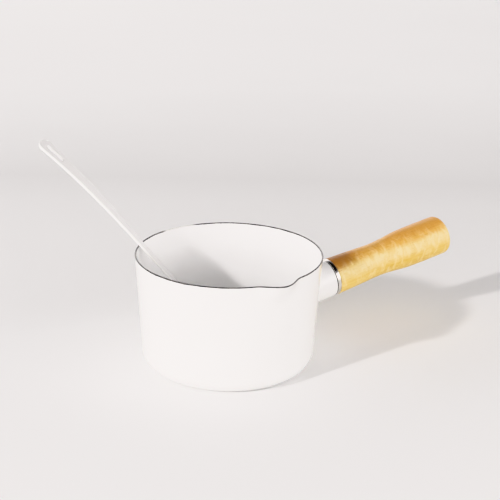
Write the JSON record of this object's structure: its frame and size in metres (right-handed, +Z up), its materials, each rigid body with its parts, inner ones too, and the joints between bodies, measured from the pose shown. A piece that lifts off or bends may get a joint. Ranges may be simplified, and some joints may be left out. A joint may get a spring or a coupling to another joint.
{
  "type": "candle melting pot",
  "caption": "Small round enamelled melting pot with a pouring lip, a dark rim, a turned wooden side handle and a matching long spoon leaning in it.",
  "frame": {"origin": "centre of the pot's flat underside, on the surface that it stands on", "axes": "+X from the pot's axis along its handle, +Y away from the pouring lip, +Z up"},
  "size_m": [0.3371, 0.1952, 0.1743],
  "materials": {
    "white_enamel": "glossy warm white vitreous enamel on steel",
    "dark_enamel_edge": "glossy dark grey enamel line along an edge",
    "spoon_enamel": "glossy white vitreous enamel on steel",
    "polished_ferrule": "mirror polished stainless steel, turned",
    "plain_steel": "zinc plated fastener steel",
    "varnished_wood": "golden hardwood, turned, satin varnish, grain along the handle"
  },
  "bodies": {
    "pot": {"pot_body": "white_enamel", "rim_edge": "dark_enamel_edge", "handle_socket": "white_enamel", "socket_edge": "dark_enamel_edge", "anchor_plate": "plain_steel", "anchor_nut": "plain_steel", "ferrule": "polished_ferrule", "wood_handle": "varnished_wood", "tie_bolt": "plain_steel", "tail_washer": "plain_steel", "lock_washer": "plain_steel"},
    "spoon": {"spoon": "spoon_enamel"}
  },
  "joints": [
    {"name": "spoon_lift", "type": "slide", "parent": "pot", "child": "spoon", "axis": [0, 0, 1], "range_m": [0, 0.12]}
  ]
}
